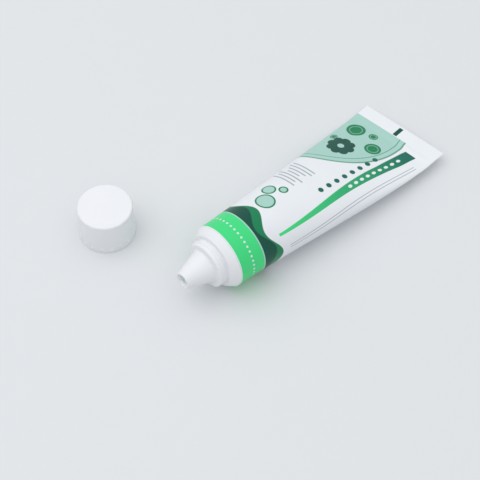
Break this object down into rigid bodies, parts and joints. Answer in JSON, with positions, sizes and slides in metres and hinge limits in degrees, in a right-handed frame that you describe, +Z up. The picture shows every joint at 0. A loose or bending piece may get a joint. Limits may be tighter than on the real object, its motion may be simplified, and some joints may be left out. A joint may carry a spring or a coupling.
{
  "type": "toothpaste tube",
  "caption": "Laminate squeeze tube lying on its side with a flat heat-sealed tail, a shouldered head with a short threaded neck and cone nozzle, and its screw cap standing beside it.",
  "frame": {"origin": "middle of the base of the whole part's box, on the surface that it rests on", "axes": "+X from the nozzle to the sealed tail, +Y towards the side where the cap stands, +Z up"},
  "size_m": [0.1776, 0.1039, 0.0353],
  "materials": {
    "laminate": "printed satin laminate",
    "head_plastic": "moulded satin",
    "cap_plastic": "moulded satin",
    "paste": "wet paste"
  },
  "bodies": {
    "root": {"sleeve": "laminate", "nozzle_head": "head_plastic", "screw_cap": "cap_plastic", "toothpaste": "paste"}
  },
  "joints": []
}
